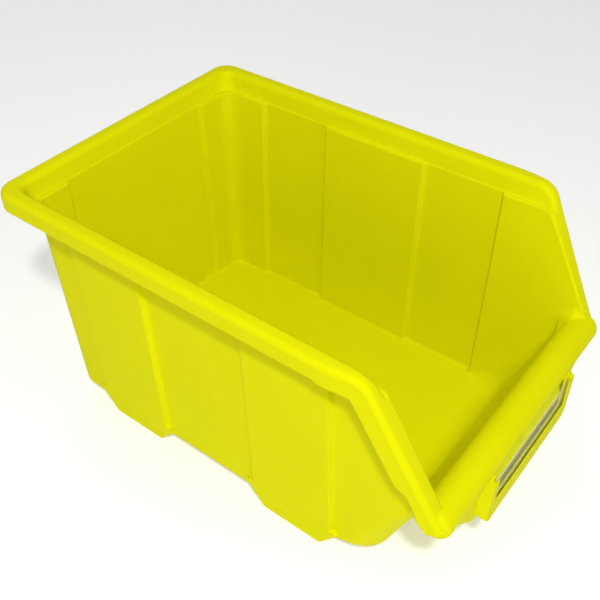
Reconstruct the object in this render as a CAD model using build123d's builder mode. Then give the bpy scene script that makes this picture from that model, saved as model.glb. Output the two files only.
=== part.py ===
from build123d import *
import os
from math import cos, radians, sin, tan

# Stackable storage bin: one thin-walled moulding with a hollow rim, a round grip bar across the
# low front and a label holder, plus the card and the clear cover that the label holder carries.
# X runs across the bin, the open front faces -Y and Z is up. The origin is on the ground, under
# the middle of the bin's outline.

# Overall size
rim_width = 160.0
height = 133.0
length = 242.4  # back of the rim to the front of the label holder
wall = 1.8

# Tub, measured inside, where depths are taken down from the top of the rim
floor_depth = 126.2
foot_height = 5.0
ledge_depth = 9.7
ledge_half_width = 70.4
ledge_back = 9.5
panel_half_width = 70.0
panel_back = 9.9
side_draft = 1.6
back_draft = 0.9
front_foot = 201.0
front_lean = 21.0
floor_radius = 14.0
back_corner_radius = 7.0
front_corner_radius = 11.0
mouth_corner_radius = 1.0
bottom_bevel = 2.5
ease = 0.05  # keeps trimming surfaces from lying on the surfaces that they trim

# Panels that stand out from the side and back walls, as distances from the back of the rim
panel_step = 2.5
panel_ramp = 1.2
side_panels = ((37.4, 80.0), (138.5, 182.0))
back_panel_half_width = 47.0

# Rim
rim_land = 8.2
rim_corner_radius = 10.0
ridge_radius = 2.6
skirt_depth = 9.4
shoulder = 202.4
shoulder_radius = 11.0
band_end = 215.0  # beyond the rim's surface, so that the band runs out through it
mouth_back = 190.0
mouth_angle = 28.0  # the sloped rim, measured from the vertical
slope_skirt_depth = 10.0
tip_skirt_depth = 7.2
skirt_step = (50.0, 54.0)
slope_length = 76.0
tip_half_width = 73.0
shoulder_half_width = 77.9

# Grip bar
grip_back = 232.0
grip_depth = 66.0
grip_radius = 7.6
grip_half_length = 71.5
grip_end_radius = 3.0

# Apron and label holder under the grip bar
apron_front = 237.0
apron_top = 71.0
apron_wing = (60.0, 75.0)  # half width and depth where the apron runs out under the grip
pad_half_width = 33.0
pad_front = 240.3
pad_slope = 3.2
pad_bottom = 79.0
pad_radius = 3.0
holder_half_width = 39.0
holder_top = 67.0
holder_bottom = 94.5
holder_corner_radius = 4.0
holder_wall = 1.5
channel_width = 2.5
post_width = 3.0
rib_back = 239.4
slot_back = 240.6
slot_front = 241.7
lip_top = 84.0
rib_top = 86.0

# Label card and cover
sheet_gap = 0.4
card_thickness = 0.35
card_top = 79.6
cover_thickness = 0.7
cover_top = 68.5

# Feet under the side panels
foot_width = 7.0
foot_inset = 5.0


def back(distance):
    """Y of a place at a distance forward from the back edge of the rim."""
    return length / 2 - distance


def down(depth):
    """Z of a place at a depth below the top of the rim."""
    return height - depth


def recess_half_width(depth):
    """Inside half width between the side panels, which narrows towards the floor."""
    return panel_half_width - panel_step - tan(radians(side_draft)) * (depth - ledge_depth)


def back_wall(depth):
    """Distance from the back of the rim to the inside of the back wall beside its panel."""
    return panel_back + panel_step + tan(radians(back_draft)) * (depth - ledge_depth)


def front_wall(depth):
    """Distance from the back of the rim to the inside of the leaning front wall."""
    return front_foot + tan(radians(front_lean)) * (floor_depth - depth)


def front_corner(depth):
    """Radius of the tub's front corners, which close up towards the grip bar."""
    share = max(0, (depth - grip_depth) / (floor_depth - grip_depth))
    return mouth_corner_radius + share * (front_corner_radius - mouth_corner_radius)


def slope_point(along, below):
    """Point (y, z) along the sloped rim and below its surface, from the sharp shoulder."""
    angle = radians(mouth_angle)
    distance = shoulder + along * sin(angle) - below * cos(angle)
    return back(distance), down(along * cos(angle) + below * sin(angle))


def tub_section(depth, grow, inset, radius_change):
    """Ribbed outline of the tub at a depth, moved outwards by grow, or inwards by inset."""
    shift = grow - inset
    half = recess_half_width(depth) + shift
    front = back(front_wall(depth) + shift / cos(radians(front_lean)))
    rear = back(back_wall(depth) - shift)
    right = [(half, front)]
    for near, far in reversed(side_panels):
        right += [
            (half, back(far + grow)),
            (half + panel_step, back(far + grow - panel_ramp)),
            (half + panel_step, back(near - grow + panel_ramp)),
            (half, back(near - grow)),
        ]
    right += [
        (half, rear),
        (back_panel_half_width + grow, rear),
        (back_panel_half_width + grow - panel_ramp, rear + panel_step),
    ]
    left = [(-x, y) for x, y in reversed(right)]
    with BuildSketch(Plane.XY.offset(down(depth))) as section:
        with BuildLine():
            Polyline(*right, *left, close=True)
        make_face()
        corners = section.vertices().filter_by(lambda v: abs(abs(v.X) - half) < 0.01)
        fillet(corners.group_by(Axis.Y)[0], front_corner(depth) + radius_change)
        fillet(corners.group_by(Axis.Y)[-1], back_corner_radius + radius_change)
    return section.sketch


def side_view(bottom_depth, grow, radius):
    """Side outline that rounds the foot of the leaning front; its flat sides clear the tub."""
    angle = radians(front_lean)
    bottom = bottom_depth + ease
    front = front_foot + (grow + ease) / cos(angle) - tan(angle) * (bottom - floor_depth)
    top = front + tan(angle) * bottom
    with BuildSketch(Plane.YZ) as outline:
        with BuildLine():
            Polyline(
                (back(0), down(0)),
                (back(0), down(bottom)),
                (back(front), down(bottom)),
                (back(top), down(0)),
                close=True,
            )
        make_face()
        fillet(outline.vertices().sort_by(Axis.Y)[:2].sort_by(Axis.X)[0], radius)
    return outline.sketch


def under_rim(thickness):
    """Side outline of everything lower than a thickness below the rim's surface."""
    with BuildSketch(Plane.YZ) as outline:
        with BuildLine():
            Polyline(
                (back(0), 0),
                (back(0), down(thickness)),
                slope_corner(thickness),
                slope_point(slope_length, thickness),
                (slope_point(slope_length, thickness)[0], 0),
                close=True,
            )
        make_face()
        crest = outline.vertices().group_by(Axis.Y)[-1].sort_by(Axis.X)[0]
        fillet(crest, shoulder_radius - thickness)
    return outline.sketch


def slope_corner(thickness):
    """Sharp corner (y, z) where the level and the sloped surface meet, below the rim."""
    angle = radians(mouth_angle)
    run = (thickness - thickness * sin(angle)) / cos(angle)
    return back(shoulder - run), down(thickness)


def rim_plan(inset):
    """Outline of the rim from above, moved inwards: level sides, then tapered to the tips."""
    half = rim_width / 2 - inset
    tip = slope_point(slope_length, 0)[0]
    with BuildSketch() as outline:
        with BuildLine():
            Polyline(
                (half, back(inset)),
                (half, back(shoulder - shoulder_radius)),
                (shoulder_half_width - inset, back(shoulder)),
                (tip_half_width - inset, tip),
                (inset - tip_half_width, tip),
                (inset - shoulder_half_width, back(shoulder)),
                (-half, back(shoulder - shoulder_radius)),
                (-half, back(inset)),
                close=True,
            )
        make_face()
        fillet(outline.vertices().group_by(Axis.Y)[-1], rim_corner_radius - inset)
    return outline.sketch


def skirt_outline():
    """Side outline of the space that the rim and its skirt fill."""
    level = back(shoulder - (slope_skirt_depth - skirt_depth * sin(radians(mouth_angle)))
                 / cos(radians(mouth_angle)))
    with BuildSketch(Plane.YZ) as outline:
        with BuildLine():
            Polyline(
                (back(0), down(skirt_depth)),
                (back(0), down(0)),
                (back(shoulder), down(0)),
                slope_point(slope_length, 0),
                slope_point(slope_length, tip_skirt_depth),
                slope_point(skirt_step[1], tip_skirt_depth),
                slope_point(skirt_step[0], slope_skirt_depth),
                (level, down(skirt_depth)),
                close=True,
            )
        make_face()
        crest = outline.vertices().group_by(Axis.Y)[-1].sort_by(Axis.X)[0]
        fillet(crest, shoulder_radius)
    return outline.sketch


def band_section(depth, grow):
    """Plain outline of the band inside the rim, which opens out towards its top edge."""
    opening = (rim_width / 2 - rim_land - ledge_half_width) * (1 - depth / ledge_depth)
    half = ledge_half_width + opening + grow
    rear = ledge_back - opening - grow
    with BuildSketch(Plane.XY.offset(down(depth))) as section:
        with BuildLine():
            Polyline(
                (half, back(rear)),
                (half, back(band_end + grow)),
                (-half, back(band_end + grow)),
                (-half, back(rear)),
                close=True,
            )
        make_face()
        fillet(section.vertices(), back_corner_radius + grow)
    return section.sketch


# The solid tub, before it is hollowed
bottom_depth = height - foot_height
with BuildPart() as tub:
    bottom = tub_section(bottom_depth, wall, bottom_bevel, 0)
    above_bevel = tub_section(bottom_depth - bottom_bevel, wall, 0, wall)
    at_grip = tub_section(grip_depth, wall, 0, wall)
    loft([bottom, above_bevel, at_grip, tub_section(ledge_depth, wall, 0, wall)], ruled=True)
    front_view = side_view(bottom_depth, wall, floor_radius + wall)
    extrude(front_view, amount=rim_width, both=True, mode=Mode.INTERSECT)
    extrude(under_rim(wall / 2), amount=rim_width, both=True, mode=Mode.INTERSECT)

# The storage space
with BuildPart() as tub_space:
    loft([tub_section(depth, 0, 0, 0) for depth in (floor_depth, grip_depth, ledge_depth)], ruled=True)
    front_view = side_view(floor_depth, 0, floor_radius)
    extrude(front_view, amount=rim_width, both=True, mode=Mode.INTERSECT)
with BuildPart() as band_space:
    loft([band_section(ledge_depth, 0), band_section(0, 0)], ruled=True)

# The mouth above the grip bar, as wide as the tub is there
mouth_front = length + wall
with BuildPart() as mouth:
    for depth in (grip_depth, 0):
        with BuildSketch(Plane.XY.offset(down(depth))):
            with Locations((0, back((mouth_back + mouth_front) / 2))):
                Rectangle(2 * recess_half_width(depth), mouth_front - mouth_back)
    loft(ruled=True)

# The side walls of the mouth, as a block that the mouth is cut from
with BuildPart() as mouth_sides:
    for depth in (grip_depth - wall, 0):
        with BuildSketch(Plane.XY.offset(down(depth))):
            with Locations((0, back((mouth_back + wall + mouth_front) / 2))):
                Rectangle(2 * (recess_half_width(depth) + wall - ease), mouth_front - mouth_back - wall)
    loft(ruled=True)
    extrude(under_rim(wall / 2), amount=rim_width, both=True, mode=Mode.INTERSECT)

# The rim, and the hollow under it between its band and its skirt
with BuildPart() as rim:
    extrude(skirt_outline(), amount=rim_width, both=True)
    extrude(rim_plan(0), amount=height, mode=Mode.INTERSECT)
    top_faces = rim.faces().filter_by(lambda face: face.normal_at().Z > 0.3)
    outline_edges = [
        edge for edge in rim.edges() if sum(edge in face.edges() for face in top_faces) == 1
    ]
    ridge = ShapeList(outline_edges).sort_by(Axis.Z)[1:]
    fillet(ridge, ridge_radius)
with BuildPart() as band:
    loft([band_section(ledge_depth, wall), band_section(0, wall)], ruled=True)
    extrude(under_rim(wall / 2), amount=rim_width, both=True, mode=Mode.INTERSECT)
with BuildPart() as ledge:
    extrude(band_section(ledge_depth, wall), amount=-wall)
    extrude(under_rim(wall / 2), amount=rim_width, both=True, mode=Mode.INTERSECT)
with BuildPart() as rim_hollow:
    extrude(under_rim(wall), amount=rim_width, both=True)
    extrude(rim_plan(wall), amount=height, mode=Mode.INTERSECT)
    for solid in (tub, band, ledge, mouth_sides):
        add(solid.part, mode=Mode.SUBTRACT)

# Label holder: a shallow frame with a channel for the cover and a space behind it for the card
channel_half_width = holder_half_width - post_width
window_half_width = channel_half_width - channel_width
holder_floor = holder_bottom - holder_wall
with BuildPart() as label_holder:
    with BuildSketch(Plane.XZ.offset(-back(apron_front))) as holder_face:
        with Locations((0, down((holder_top + holder_bottom) / 2))):
            Rectangle(2 * holder_half_width, holder_bottom - holder_top)
        fillet(holder_face.vertices().group_by(Axis.Y)[0], holder_corner_radius)
    extrude(amount=length - apron_front)
    top_edges = label_holder.edges().filter_by(Axis.X).group_by(Axis.Z)[-1]
    chamfer(top_edges.sort_by(Axis.Y)[0], wall)
    for near, far, half, depth in (
        (apron_front, rib_back, channel_half_width, holder_floor),
        (slot_back, slot_front, channel_half_width, holder_floor),
        (rib_back, slot_back, window_half_width, rib_top),
        (slot_front, length, window_half_width, lip_top),
    ):
        with Locations((0, back((near + far) / 2), down(depth))):
            Box(2 * half, far - near, height, align=(Align.CENTER, Align.CENTER, Align.MIN),
                mode=Mode.SUBTRACT)

# Apron: the plate under the grip bar that carries the label holder, with its ends cut away
with BuildPart() as apron:
    with BuildSketch(Plane.XZ.offset(-back(apron_front))):
        with BuildLine():
            wing_x, wing_depth = apron_wing
            Polyline(
                (wing_x, down(apron_top)),
                (wing_x, down(wing_depth)),
                (holder_half_width, down(holder_bottom)),
                (-holder_half_width, down(holder_bottom)),
                (-wing_x, down(wing_depth)),
                (-wing_x, down(apron_top)),
                close=True,
            )
        make_face()
    extrude(amount=-wall)

# Pad that fills the corner between the grip bar and the apron, above the label
with BuildPart() as pad:
    with BuildSketch(Plane.YZ) as pad_side:
        with BuildLine():
            Polyline(
                (back(apron_front - wall / 2), down(grip_depth)),
                (back(apron_front - wall / 2), down(pad_bottom)),
                (back(pad_front), down(pad_bottom)),
                (back(pad_front - pad_slope), down(grip_depth)),
                close=True,
            )
        make_face()
        fillet(pad_side.vertices().group_by(Axis.Y)[0].sort_by(Axis.X)[0], pad_radius)
    extrude(amount=pad_half_width, both=True)

# Grip bar, and the hollow inside it that opens downwards
with BuildPart() as grip:
    with BuildSketch(Plane.YZ):
        with Locations((back(grip_back), down(grip_depth))):
            Circle(grip_radius)
    extrude(amount=grip_half_length, both=True)
    fillet(grip.edges(), grip_end_radius)
opening_back = grip_back - grip_radius
opening_front = apron_front - wall
with BuildPart() as grip_hollow:
    with BuildSketch(Plane.YZ):
        with Locations((back(grip_back), down(grip_depth))):
            Circle(grip_radius - wall)
        with Locations((back((opening_back + opening_front) / 2), down(grip_depth + grip_radius))):
            Rectangle(opening_front - opening_back, 2 * grip_radius)
    extrude(amount=recess_half_width(grip_depth), both=True)
    add(tub.part, mode=Mode.SUBTRACT)

# The moulding
with BuildPart() as bin_body:
    for solid in (tub, band, ledge, mouth_sides, rim):
        add(solid.part)
    add(rim_hollow.part, mode=Mode.SUBTRACT)
    for near, far in side_panels:
        foot_outside = recess_half_width(bottom_depth) + panel_step + wall - bottom_bevel
        with BuildSketch(Plane.YZ.offset(foot_outside - foot_width)) as foot_side:
            with BuildLine():
                Polyline(
                    (back(near), foot_height + bottom_bevel),
                    (back(near + foot_inset), 0),
                    (back(far - foot_inset), 0),
                    (back(far), foot_height + bottom_bevel),
                    close=True,
                )
            make_face()
            fillet(foot_side.vertices().group_by(Axis.Y)[0], foot_inset / 2)
        foot = extrude(amount=foot_width + bottom_bevel)
        mirror(foot, about=Plane.YZ)
    for space in (tub_space, band_space, mouth):
        add(space.part, mode=Mode.SUBTRACT)
    add(grip.part)
    add(grip_hollow.part, mode=Mode.SUBTRACT)
    add(apron.part)
    add(pad.part)
    add(label_holder.part)

# Clear cover that slides down the channel
with BuildPart() as label_cover:
    cover_height = holder_floor - sheet_gap - cover_top
    middle = (0, back((slot_back + slot_front) / 2), down(holder_floor - sheet_gap - cover_height / 2))
    with Locations(middle):
        Box(2 * (channel_half_width - sheet_gap), cover_thickness, cover_height)
    fillet(label_cover.edges().filter_by(Axis.Y), sheet_gap * 2)

# Card that stands behind the cover, against the apron
with BuildPart() as label_card:
    card_height = holder_floor - sheet_gap - card_top
    card_middle = apron_front + sheet_gap / 2 + card_thickness / 2
    with Locations((0, back(card_middle), down(holder_floor - sheet_gap - card_height / 2))):
        Box(2 * (channel_half_width - sheet_gap), card_thickness, card_height)

bin_body.part.label = "bin_body"
label_cover.part.label = "label_cover"
label_card.part.label = "label_card"

os.makedirs("parts", exist_ok=True)
export_step(bin_body.part, "parts/bin_body.step")
export_step(label_cover.part, "parts/label_cover.step")
export_step(label_card.part, "parts/label_card.step")
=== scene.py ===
"""Stackable storage bin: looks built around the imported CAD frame.

The bin's body is a mesh made here from a distance field: each wall, panel, rim face and rib is a
signed distance, and they are joined with rounded edges and fillets, as a moulding has. Lengths in
the field are millimetres: x across the bin, f forward from the back of the rim, t down from its top.
A face on the left and its twin on the right are one expression, because the field reads |x|.
"""

from math import atan2, cos, hypot, radians, sin, sqrt, tan

import bpy
import numpy as np
from mathutils import Matrix, Vector


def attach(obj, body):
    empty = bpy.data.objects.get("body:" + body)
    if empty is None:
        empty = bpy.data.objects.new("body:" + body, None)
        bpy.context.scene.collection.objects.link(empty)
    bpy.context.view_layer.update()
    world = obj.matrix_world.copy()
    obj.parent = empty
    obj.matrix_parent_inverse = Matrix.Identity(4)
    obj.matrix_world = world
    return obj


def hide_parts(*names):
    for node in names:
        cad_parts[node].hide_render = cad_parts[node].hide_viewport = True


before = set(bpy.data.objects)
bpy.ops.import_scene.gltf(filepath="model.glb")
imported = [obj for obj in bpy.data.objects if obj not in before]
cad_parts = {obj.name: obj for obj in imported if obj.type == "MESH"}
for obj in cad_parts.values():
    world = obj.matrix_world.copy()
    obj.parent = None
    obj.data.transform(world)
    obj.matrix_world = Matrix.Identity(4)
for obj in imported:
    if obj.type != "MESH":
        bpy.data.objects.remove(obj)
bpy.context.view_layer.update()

MM = 0.001
LENGTH, HEIGHT = 242.4, 133.0
HALF_WIDTH = 80.0
WALL = 1.8

# Inside of the tub
FLOOR, LEDGE = 126.2, 9.7
SIDE_DRAFT, BACK_DRAFT = radians(1.6), radians(0.9)
SIDE_WALL, BACK_WALL = 67.5, 12.4  # at the depth of the ledge
BACK_CORNER, FLOOR_EDGE = 7.0, 14.0

# Band above the ledge: it opens a little towards the top
BAND_SIDE, BAND_BACK, BAND_OPENING = 70.4, 9.5, 1.4

# Ribs of the walls: panels that stand out by STEP with slanted edges
PANELS = ((37.4, 80.0), (138.5, 182.0))
BACK_PANEL = 47.0
STEP, RAMP = 2.5, 1.2
RAMP_COS = RAMP / hypot(STEP, RAMP)

# Leaning front wall and the two cheeks that run on beside the mouth
FRONT_FOOT, LEAN = 201.0, radians(21)
CHEEK_START = 195.0

# Rim: level along the back and sides, then sloped down to the grip
SHOULDER, SHOULDER_SIDE, SHOULDER_RADIUS = 202.4, 77.9, 11.0
MOUTH = radians(28)  # the sloped rim, measured from the vertical
SLOPE_LENGTH, TIP_SIDE = 76.0, 73.0
RIM_CORNER, RIDGE = 10.0, 2.8
SKIRT, SLOPE_SKIRT, TIP_SKIRT = 9.4, 10.0, 7.2
SKIRT_STEP = (50.0, 54.0)  # along the slope, where its skirt gets shallower
HOLLOW_END = 64.0  # along the slope, short of the grip bar

# Feet: blocks under the side panels, with slanted ends
FOOT_RUN, FOOT_RISE, FOOT_TOP = 7.5, 5.0, 125.5
FOOT_INNER, FOOT_ROOT = 61.5, 118.0

# Grip bar
GRIP_F, GRIP_T, GRIP_R, GRIP_END = 232.0, 66.0, 7.6, 71.5

# Apron under the grip, and the label holder and pad in front of it
APRON_MIDDLE, APRON_WING = 236.1, (60.0, 75.0)
HOLDER_BACK, HOLDER_HALF, HOLDER_TOP, HOLDER_BOTTOM = 237.0, 39.0, 67.0, 94.5
PAD_HALF, PAD_FRONT, PAD_BOTTOM, PAD_LEAN = 33.0, 240.3, 79.0, 0.25


# ---------------------------------------------------------------- distance field

def both(a, b, r=0.0, c=0.0):
    """What is inside a and b, with their edge rounded to r; c is the cosine between the normals."""
    if np.ndim(r) == 0 and r == 0:
        return np.maximum(a, b)
    p, q = a + r, b + r
    arc = np.sqrt(np.maximum(p * p + q * q - 2 * c * p * q, 0) / (1 - c * c)) - r
    return np.where((q > c * p) & (p > c * q), arc, np.maximum(a, b))


def either(a, b, r=0.0, c=0.0):
    """What is inside a or b, with a fillet of radius r where they meet."""
    return -both(-a, -b, r, c)


def slab(v, low, high):
    """Between two parallel faces."""
    return np.abs(v - (low + high) / 2) - (high - low) / 2


def slanted(a, b, weight_a, weight_b):
    """Distance from a flat face whose normal leans weight_a along a and weight_b along b."""
    return (a * weight_a + b * weight_b) / hypot(weight_a, weight_b)


def smooth(v):
    """0 below 0, 1 above 1 and an S between them."""
    v = np.clip(v, 0, 1)
    return v * v * (3 - 2 * v)


def recess(t):
    """Inside half width between the side panels at a depth."""
    return SIDE_WALL - tan(SIDE_DRAFT) * (t - LEDGE)


def slope(f, t):
    """How far a point is along the sloped rim, and how far below it."""
    ahead = f - SHOULDER
    return ahead * sin(MOUTH) + t * cos(MOUTH), t * sin(MOUTH) - ahead * cos(MOUTH)


def side_wall(x, f, t, grow, edge):
    over = x - recess(t) - grow
    out = over * cos(SIDE_DRAFT)
    proud = out - STEP
    for near, far in PANELS:
        start = slanted(over, near - grow - f, RAMP, STEP)
        stop = slanted(over, f - far - grow, RAMP, STEP)
        panel = both(both(proud, start, edge, RAMP_COS), stop, edge, RAMP_COS)
        out = either(out, panel, edge, RAMP_COS)
    return out


def back_wall(x, f, t, grow, edge):
    over = BACK_WALL + tan(BACK_DRAFT) * (t - LEDGE) - grow - f
    flat = over * cos(BACK_DRAFT)
    side = slanted(over, x - BACK_PANEL - grow, RAMP, STEP)
    return either(flat, both(flat - STEP, side, edge, RAMP_COS), edge, RAMP_COS)


def tub(x, f, t, grow, edge, floor_edge):
    """The tub's inside, or its outside when it grows by the wall."""
    plan = both(side_wall(x, f, t, grow, edge), back_wall(x, f, t, grow, edge), BACK_CORNER + grow)
    front = (f - FRONT_FOOT - tan(LEAN) * (FLOOR - t)) * cos(LEAN) - grow
    base = both(front, t - FLOOR - grow, FLOOR_EDGE + grow, sin(LEAN))
    # The upright corners beside the front wall are tight at the mouth and round at the floor
    corner = 1.0 + grow + 10 * smooth((t - 58) / 50)
    return both(plan, base, floor_edge + (corner - floor_edge) * smooth((f - 178) / 24))


def band(x, f, t, grow):
    """The wider space above the ledge, open towards the front."""
    opening = BAND_OPENING * (1 - t / LEDGE)
    lean = cos(atan2(BAND_OPENING, LEDGE))
    side = (x - BAND_SIDE - opening) * lean - grow
    rear = (BAND_BACK - opening - f) * lean - grow
    return both(both(side, rear, BACK_CORNER + grow), t - LEDGE - grow, 0.4 + grow * 0.5)


def cheeks(x, f, t, grow):
    """The inside, or outside, of the flat walls that carry the sloped rim."""
    cheek = (x - recess(t)) * cos(SIDE_DRAFT) - grow
    return np.maximum(np.maximum(cheek, t - GRIP_T), CHEEK_START - f)


def storage_space(x, f, t):
    space = either(tub(x, f, t, 0, 0.7, 1.6), band(x, f, t, 0), 0.5)
    return np.minimum(space, cheeks(x, f, t, 0))


def rim_block(x, f, t):
    """Everything under the rim's upper surface, within its outline."""
    along, below = slope(f, t)
    dish = 0.12 * np.clip(1 - along / 68, 0, 1) * np.clip(77.5 - x, 0, 11)
    top = both(-t, dish - below, SHOULDER_RADIUS, sin(MOUTH))
    reach, narrowing = SLOPE_LENGTH * sin(MOUTH), SHOULDER_SIDE - TIP_SIDE
    taper = slanted(x - SHOULDER_SIDE, f - SHOULDER, reach, narrowing)
    sides = both(x - HALF_WIDTH, taper, 60, reach / hypot(reach, narrowing))
    return both(top, both(sides, -f, RIM_CORNER), RIDGE)


def foot(x, f, t, near, far):
    proud = (x - recess(t) - WALL) * cos(SIDE_DRAFT) - STEP
    start = slanted(near - f, t - FOOT_TOP, FOOT_RUN, FOOT_RISE)
    stop = slanted(f - far, t - FOOT_TOP, FOOT_RUN, FOOT_RISE)
    ends = both(both(start, stop), t - HEIGHT, 2.5, FOOT_RISE / hypot(FOOT_RUN, FOOT_RISE))
    return both(both(ends, proud, 1.0), np.maximum(FOOT_INNER - x, FOOT_ROOT - t), 1.0)


def outside(x, f, t):
    """The outer surface of the walls, with the feet."""
    outer = either(tub(x, f, t, WALL, 1.0, 4.0), band(x, f, t, WALL), 0.6)
    outer = np.minimum(outer, cheeks(x, f, t, WALL))
    for near, far in PANELS:
        outer = either(outer, foot(x, f, t, near, far), 0.5)
    return outer


def skirt(f, t):
    """What the rim's skirt reaches down to, level and then along the slope."""
    along, below = slope(f, t)
    level = np.minimum(t - SKIRT, both(t - 10.5, 182 - f, 0.4))
    drop, run = SLOPE_SKIRT - TIP_SKIRT, SKIRT_STEP[1] - SKIRT_STEP[0]
    ramp = slanted(along - SKIRT_STEP[0], below - SLOPE_SKIRT, drop, run)
    deep = both(below - SLOPE_SKIRT, ramp, 1.0, run / hypot(drop, run))
    sloped = np.minimum(deep, below - TIP_SKIRT)
    return both(either(level, sloped, 0.6, sin(MOUTH)), along - 75, 1.5)


def tub_and_rim(x, f, t, outer):
    along = slope(f, t)[0]
    edge = 1.2 + 1.6 * smooth((212 - f) / 14)
    solid = both(rim_block(x, f, t), -storage_space(x, f, t), edge)
    hollow = both(both(solid + WALL, -outer, 0.8), along - HOLLOW_END, 1.0)
    return both(both(solid, np.minimum(outer, skirt(f, t)), 0.5), -hollow, 0.5)


def with_grip(body, x, f, t, outer):
    """Adds the grip bar, then hollows it from below between its ends."""
    radial = np.hypot(f - GRIP_F, t - GRIP_T) - GRIP_R
    blend = 0.4 + 5.6 * smooth((x - 55) / 9) * smooth((233 - f) / 6)
    body = either(body, both(radial, x - GRIP_END, 3), blend)
    slot = np.maximum(np.maximum(GRIP_T - t, f - 235.2), np.maximum(224.4 - f, t - 80))
    gap = both(np.minimum(radial + WALL, slot), x - 62, 1.0)
    return np.maximum(body, -np.maximum(gap, -outer))


def apron(x, f, t):
    wing = slanted(x - APRON_WING[0], t - APRON_WING[1], 1, 1)
    face = both(both(wing, t - HOLDER_BOTTOM, 1.5, sqrt(0.5)), 70 - t)
    return both(face, np.abs(f - APRON_MIDDLE) - WALL / 2, 0.4)


def label_holder(x, f, t):
    """A frame with a space for the card and a channel for the cover, both open at the top."""
    face = both(both(x - HOLDER_HALF, t - HOLDER_BOTTOM, 4), HOLDER_TOP - t)
    bevel = slanted(f - LENGTH + 1.8, HOLDER_TOP - t, 1, 1)
    holder = both(np.maximum(face, bevel), slab(f, HOLDER_BACK, LENGTH), 0.35)
    for near, far, half, depth in (
        (236.5, 239.4, 36, HOLDER_BOTTOM - 1.5),
        (240.6, 241.7, 36, HOLDER_BOTTOM - 1.5),
        (239.4, 240.6, 33.5, 86),
        (241.7, 243.5, 33.5, 84),
    ):
        across = np.maximum(x - half, slab(f, near, far))
        holder = both(holder, -np.maximum(across, np.maximum(t - depth, 60 - t)), 0.2)
    return holder


def pad(x, f, t):
    """The leaning block between the grip and the window of the label holder."""
    face = slanted(f - PAD_FRONT, 76 - t, 1, PAD_LEAN)
    front = both(face, t - PAD_BOTTOM, 3, -PAD_LEAN / hypot(1, PAD_LEAN))
    behind = np.maximum(GRIP_T - t, 235.2 - f)
    return both(np.maximum(front, behind), x - PAD_HALF, 2.5)


def bin_field(x, f, t):
    x = np.abs(x)
    outer = outside(x, f, t)
    body = with_grip(tub_and_rim(x, f, t, outer), x, f, t, outer)
    body = either(body, apron(x, f, t), 0.3)
    return either(body, np.minimum(label_holder(x, f, t), pad(x, f, t)), 0.3)


# ---------------------------------------------------------------- mesh of a distance field

def evaluate(field, points, chunk=8192):
    out = np.empty(len(points))
    for i in range(0, len(points), chunk):
        out[i:i + chunk] = field(*points[i:i + chunk].T)
    return out


def gradient(field, points, reach=0.02):
    slopes = np.empty_like(points)
    for axis in range(3):
        step = np.zeros(3)
        step[axis] = reach
        slopes[:, axis] = evaluate(field, points + step) - evaluate(field, points - step)
    return slopes / (2 * reach)


def sample(field, axes, block=16):
    """The field on a grid; blocks far from the surface take one value."""
    grid = np.empty([len(a) for a in axes], np.float32)
    spans = [[(i, min(i + block, len(a))) for i in range(0, len(a), block)] for a in axes]
    for sx in spans[0]:
        for sf in spans[1]:
            for st in spans[2]:
                part = [a[s[0]:s[1]] for a, s in zip(axes, (sx, sf, st))]
                middle = [(p[0] + p[-1]) / 2 for p in part]
                reach = sqrt(sum((p[-1] - p[0]) ** 2 for p in part)) / 2
                value = float(field(*middle))
                if abs(value) < reach * 1.15 + 1.0:
                    value = field(part[0][:, None, None], part[1][None, :, None], part[2])
                grid[sx[0]:sx[1], sf[0]:sf[1], st[0]:st[1]] = value
    return grid


def crossed_cells(grid, axes):
    """For each grid edge that the surface crosses: the four cells around it, and where it crosses."""
    inside = grid < 0
    shape = np.array(grid.shape) - 1
    strides = np.array([shape[1] * shape[2], shape[2], 1])
    quads, crossings = [], []
    for a in range(3):
        b, c = (a + 1) % 3, (a + 2) % 3
        low = [slice(None)] * 3
        high = [slice(None)] * 3
        low[a], high[a] = slice(0, -1), slice(1, None)
        at = np.argwhere(inside[tuple(low)] != inside[tuple(high)])
        at = at[(at[:, b] > 0) & (at[:, c] > 0) & (at[:, b] < shape[b]) & (at[:, c] < shape[c])]
        after = at.copy()
        after[:, a] += 1
        d0, d1 = grid[tuple(at.T)], grid[tuple(after.T)]
        point = np.stack([axes[k][at[:, k]] for k in range(3)], 1)
        point[:, a] += d0 / (d0 - d1) * (axes[a][after[:, a]] - axes[a][at[:, a]])
        cell = at @ strides
        around = np.stack([cell, cell - strides[b], cell - strides[b] - strides[c],
                           cell - strides[c]], 1)
        # x stays and f, t both turn over on the way to the row frame, so the winding holds
        leaving = inside[tuple(at.T)]
        around[~leaving] = around[~leaving][:, ::-1]
        quads.append(around)
        crossings.append(np.repeat(point, 4, 0))
    return np.concatenate(quads), np.concatenate(crossings), strides[0]


def half_mesh(field, axes):
    """Quads through the cells that the surface crosses, their corners moved onto the surface.

    The first layer of cells is centred on x = 0, so the mesh ends there, ready to be mirrored.
    """
    quads, crossings, first_layer = crossed_cells(sample(field, axes), axes)
    cells, member = np.unique(quads.ravel(), return_inverse=True)
    count = np.bincount(member)
    points = np.stack([np.bincount(member, crossings[:, k]) / count for k in range(3)], 1)
    middle = cells < first_layer
    for _ in range(2):
        value = evaluate(field, points)
        slopes = gradient(field, points)
        move = -(value / np.maximum((slopes ** 2).sum(1), 0.25))[:, None] * slopes
        far = np.linalg.norm(move, axis=1)
        points += move * np.minimum(1, 0.4 / np.maximum(far, 1e-9))[:, None]
        points[middle, 0] = 0
    return points, member.reshape(quads.shape)


def mirrored(points, quads):
    """The whole from its half at x >= 0, joined along x = 0."""
    seam = points[:, 0] < 1e-6
    other = np.arange(len(points))
    other[~seam] = len(points) + np.arange((~seam).sum())
    flipped = points[~seam] * np.array([-1, 1, 1])
    return np.concatenate([points, flipped]), np.concatenate([quads, other[quads][:, ::-1]])


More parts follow.
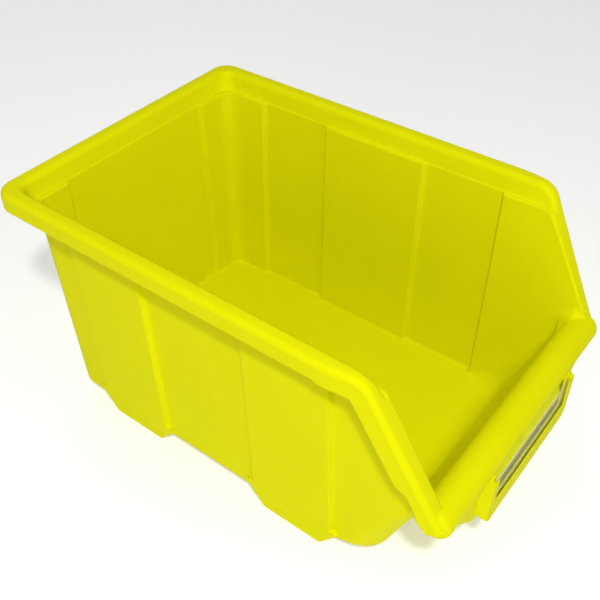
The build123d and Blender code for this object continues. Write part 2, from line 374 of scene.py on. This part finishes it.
def to_row(points):
    """Millimetres in (x, f, t) to metres in the row frame."""
    return np.stack([points[:, 0], LENGTH / 2 - points[:, 1], HEIGHT - points[:, 2]], 1) * MM


def from_row(points):
    return np.stack([points[:, 0], LENGTH / 2 * MM - points[:, 1], HEIGHT * MM - points[:, 2]], 1) / MM


def mesh_object(name, points, faces):
    mesh = bpy.data.meshes.new(name)
    mesh.vertices.add(len(points))
    mesh.vertices.foreach_set("co", points.astype(np.float32).ravel())
    mesh.loops.add(faces.size)
    mesh.loops.foreach_set("vertex_index", faces.astype(np.int32).ravel())
    mesh.polygons.add(len(faces))
    mesh.polygons.foreach_set("loop_start", np.arange(0, faces.size, faces.shape[1], dtype=np.int32))
    mesh.update(calc_edges=True)
    mesh.validate()
    obj = bpy.data.objects.new(name, mesh)
    bpy.context.scene.collection.objects.link(obj)
    return obj


def thin_out(obj, points, quads):
    """Collapses the edges inside the flat areas, so that rounded parts keep theirs."""
    slopes = gradient(bin_field, points)
    slopes /= np.linalg.norm(slopes, axis=1)[:, None]
    bend = np.zeros(len(points))
    for a in range(4):
        i, j = quads[:, a], quads[:, (a + 1) % 4]
        turn = np.abs(slopes[i] - slopes[j]).sum(1)
        np.maximum.at(bend, i, turn)
        np.maximum.at(bend, j, turn)
    flat = bend < 0.15
    group = obj.vertex_groups.new(name="flat")
    group.add(np.flatnonzero(flat).tolist(), 1.0, "REPLACE")
    thin = obj.modifiers.new("thin out", "DECIMATE")
    thin.ratio = 1.25 * (1 - flat.mean())
    thin.vertex_group = "flat"
    thin.vertex_group_factor = 1000
    graph = bpy.context.evaluated_depsgraph_get()
    mesh = bpy.data.meshes.new_from_object(obj.evaluated_get(graph), depsgraph=graph)
    obj.modifiers.clear()
    obj.data = mesh


def shade_from_field(mesh):
    """Smooth shading with the field's own normals."""
    co = np.empty(len(mesh.vertices) * 3)
    mesh.vertices.foreach_get("co", co)
    slopes = gradient(bin_field, from_row(co.reshape(-1, 3)))
    normals = slopes * np.array([1, -1, -1])
    normals /= np.maximum(np.linalg.norm(normals, axis=1), 1e-9)[:, None]
    mesh.polygons.foreach_set("use_smooth", np.ones(len(mesh.polygons), bool))
    mesh.normals_split_custom_set_from_vertices(normals.tolist())


def spaced(*runs):
    """Grid lines: each run is where it starts and its spacing, and the last is the end."""
    lines = [np.arange(a[0], b[0] - a[1] * 0.3, a[1]) for a, b in zip(runs, runs[1:])]
    return np.concatenate(lines + [[runs[-1][0]]])


def build_bin():
    """The moulding: grid cells are small where it bends and long where its walls run straight."""
    cell = 0.55
    axes = [
        spaced((-1.5, 3), (31, cell), (41.2, 1.5), (44.5, cell), (50.5, 1.5), (56, cell), (81.2,)),
        spaced((-0.73, cell), (17, 3), (36.4, cell), (44, 3), (73.4, cell), (83, 3), (136.4, cell),
               (145, 3), (174.6, cell), (234, 0.36), (244.5,)),
        spaced((-0.71, cell), (15, 1.4 * cell), (56, cell), (98, 1.8), (116, cell), (134,)),
    ]
    points, quads = mirrored(*half_mesh(bin_field, axes))
    obj = mesh_object("bin_moulding", to_row(points), quads)
    thin_out(obj, points, quads)
    shade_from_field(obj.data)
    return obj


# ---------------------------------------------------------------- materials

class Shader:
    """A new material and short ways to wire its nodes to its Principled shader."""

    def __init__(self, name):
        self.material = bpy.data.materials.new(name)
        self.material.use_nodes = True
        self.nodes = self.material.node_tree.nodes
        self.links = self.material.node_tree.links
        self.inputs = self.nodes["Principled BSDF"].inputs
        self.place = self.nodes.new("ShaderNodeTexCoord").outputs["Object"]

    def node(self, kind, **values):
        """A node with its inputs set; an underscore stands for a space in an input's name."""
        node = self.nodes.new("ShaderNode" + kind)
        for name, value in values.items():
            node.inputs[name.replace("_", " ")].default_value = value
        return node

    def noise(self, scale, detail, rough=0.5, vector=None):
        node = self.node("TexNoise", Scale=scale, Detail=detail, Roughness=rough)
        self.links.new(vector or self.place, node.inputs["Vector"])
        return node.outputs["Fac"]

    def ramp(self, source, low, high, a, b):
        """Takes low..high to a..b, and holds a and b beyond them."""
        node = self.node("MapRange", From_Min=low, From_Max=high, To_Min=a, To_Max=b)
        self.links.new(source, node.inputs["Value"])
        return node.outputs["Result"]

    def mix(self, amount, first, second):
        """From first, a colour or a socket, to the colour second."""
        node = self.node("MixRGB", Color2=(*second, 1))
        if isinstance(first, tuple):
            node.inputs["Color1"].default_value = (*first, 1)
        else:
            self.links.new(first, node.inputs["Color1"])
        self.links.new(amount, node.inputs["Fac"])
        return node.outputs["Color"]

    def bump(self, source, strength, distance):
        node = self.node("Bump", Strength=strength, Distance=distance)
        self.links.new(source, node.inputs["Height"])
        self.links.new(node.outputs["Normal"], self.inputs["Normal"])


def plastic():
    """Moulded plastic: faint mottling, fine grain and a few dark specks of dirt.

    The small metallic share and the yellow tint keep its reflections yellow.
    """
    shader = Shader("bin_plastic")
    mottling = shader.ramp(shader.noise(38, 4, 0.6), 0.3, 0.7, 0, 1)
    tint = shader.mix(mottling, (0.775, 0.762, 0.002), (0.795, 0.782, 0.003))
    cells = shader.node("TexVoronoi", Scale=55)
    shader.links.new(shader.place, cells.inputs["Vector"])
    picked = shader.node("SeparateColor")
    shader.links.new(cells.outputs["Color"], picked.inputs["Color"])
    dirt = shader.node("Math")
    dirt.operation = "MULTIPLY"
    spot = shader.ramp(cells.outputs["Distance"], 0.012, 0.03, 0.75, 0)
    chosen = shader.ramp(picked.outputs["Red"], 0.90, 0.905, 0, 1)
    shader.links.new(spot, dirt.inputs[0])
    shader.links.new(chosen, dirt.inputs[1])
    specked = shader.mix(dirt.outputs["Value"], tint, (0.16, 0.13, 0.01))
    shader.links.new(specked, shader.inputs["Base Color"])
    gloss = shader.ramp(shader.noise(120, 5, 0.65), 0.3, 0.7, 0.4, 0.52)
    shader.links.new(gloss, shader.inputs["Roughness"])
    shader.bump(shader.noise(1500, 3, 0.6), 0.25, 0.00006)
    shader.inputs["Metallic"].default_value = 0.018
    shader.inputs["Specular IOR Level"].default_value = 0.02
    shader.inputs["Specular Tint"].default_value = (1, 0.98, 0.02, 1)
    return shader.material


def clear():
    """Clear sheet with hazy rubbed patches and fine scratches along the way it slides."""
    shader = Shader("clear_plastic")
    stretch = shader.node("Mapping", Scale=(1800, 1800, 60))
    shader.links.new(shader.place, stretch.inputs["Vector"])
    scratch = shader.noise(5, 2, vector=stretch.outputs["Vector"])
    haze = shader.noise(90, 4)
    shader.links.new(shader.ramp(haze, 0.35, 0.65, 0.06, 0.2), shader.inputs["Roughness"])
    shader.links.new(shader.ramp(scratch, 0.55, 0.75, 0.1, 0.2), shader.inputs["Alpha"])
    shader.inputs["Base Color"].default_value = (0.9, 0.92, 0.9, 1)
    return shader.material


def card():
    """Blank uncoated card: paper fibres in the colour and the surface."""
    shader = Shader("card")
    fibres = shader.noise(900, 5)
    tint = shader.mix(fibres, (0.66, 0.64, 0.03), (0.76, 0.74, 0.05))
    shader.links.new(tint, shader.inputs["Base Color"])
    shader.bump(fibres, 0.3, 0.00005)
    shader.inputs["Roughness"].default_value = 0.85
    return shader.material


def dress(obj, made):
    obj.data.materials.clear()
    obj.data.materials.append(made)


# ---------------------------------------------------------------- stage

def brighter_to_camera(tree, socket, light, seen):
    """Gives socket one value where it lights the object and another where the camera sees it."""
    rays = tree.nodes.new("ShaderNodeLightPath")
    lift = tree.nodes.new("ShaderNodeMapRange")
    lift.inputs["To Min"].default_value = light
    lift.inputs["To Max"].default_value = seen
    tree.links.new(rays.outputs["Is Camera Ray"], lift.inputs["Value"])
    tree.links.new(lift.outputs["Result"], socket)


def build_floor():
    half, drop = 9, 1e-4  # metres; the floor is a hair below the feet
    corners = np.array([[-half, -half, -drop], [half, -half, -drop], [half, half, -drop],
                        [-half, half, -drop]])
    floor = mesh_object("floor", corners, np.array([[0, 1, 2, 3]]))
    paper = bpy.data.materials.new("paper")
    paper.use_nodes = True
    inputs = paper.node_tree.nodes["Principled BSDF"].inputs
    inputs["Base Color"].default_value = (0.92, 0.92, 0.91, 1)
    inputs["Roughness"].default_value = 0.9
    inputs["Emission Color"].default_value = (1, 1, 1, 1)
    brighter_to_camera(paper.node_tree, inputs["Emission Strength"], 0.05, 0.3)
    dress(floor, paper)


def area_light(name, place, aim, size, power):
    data = bpy.data.lights.new(name, "AREA")
    data.shape = "DISK"
    data.size = size
    data.energy = power
    light = bpy.data.objects.new(name, data)
    light.location = place
    light.rotation_euler = (Vector(aim) - Vector(place)).to_track_quat("-Z", "Y").to_euler()
    bpy.context.scene.collection.objects.link(light)


def light_scene():
    area_light("key", (-0.34, -0.29, 0.645), (-0.04, 0, 0.06), 0.05, 2.9)
    area_light("fill left", (-1.15, -0.3, 0.4), (0, 0, 0.06), 0.6, 1.7)
    area_light("fill front", (0.0, -1.4, 0.5), (0, 0, 0.06), 1.0, 2.0)
    area_light("fill back", (0.2, 0.8, 1.2), (0, 0, 0.06), 1.0, 2.0)
    world = bpy.data.worlds.new("studio")
    world.use_nodes = True
    sky = world.node_tree.nodes["Background"].inputs
    sky["Color"].default_value = (1, 1, 1, 1)
    brighter_to_camera(world.node_tree, sky["Strength"], 0.32, 0.62)
    bpy.context.scene.world = world
    bpy.context.scene.view_settings.view_transform = "Standard"


def place_camera():
    azimuth, elevation, roll = radians(-52.172), radians(41.507), radians(-0.636)
    place = (-0.24651, -0.18455, 0.34625)
    back = Vector((sin(azimuth) * cos(elevation), -cos(azimuth) * cos(elevation), sin(elevation)))
    right = (-back).cross(Vector((0, 0, 1))).normalized()
    up = right.cross(-back)
    right, up = cos(roll) * right + sin(roll) * up, cos(roll) * up - sin(roll) * right
    data = bpy.data.cameras.new("camera")
    data.sensor_width = 36
    data.lens = 50.5512
    data.clip_start = 0.01
    camera = bpy.data.objects.new("camera", data)
    turn = Matrix((right, up, back)).transposed().to_4x4()
    camera.matrix_world = Matrix.Translation(place) @ turn
    bpy.context.scene.collection.objects.link(camera)
    bpy.context.scene.camera = camera


moulding = build_bin()
dress(moulding, plastic())
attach(moulding, "bin")
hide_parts("bin_body")
dress(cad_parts["label_cover"], clear())
dress(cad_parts["label_card"], card())

build_floor()
light_scene()
place_camera()
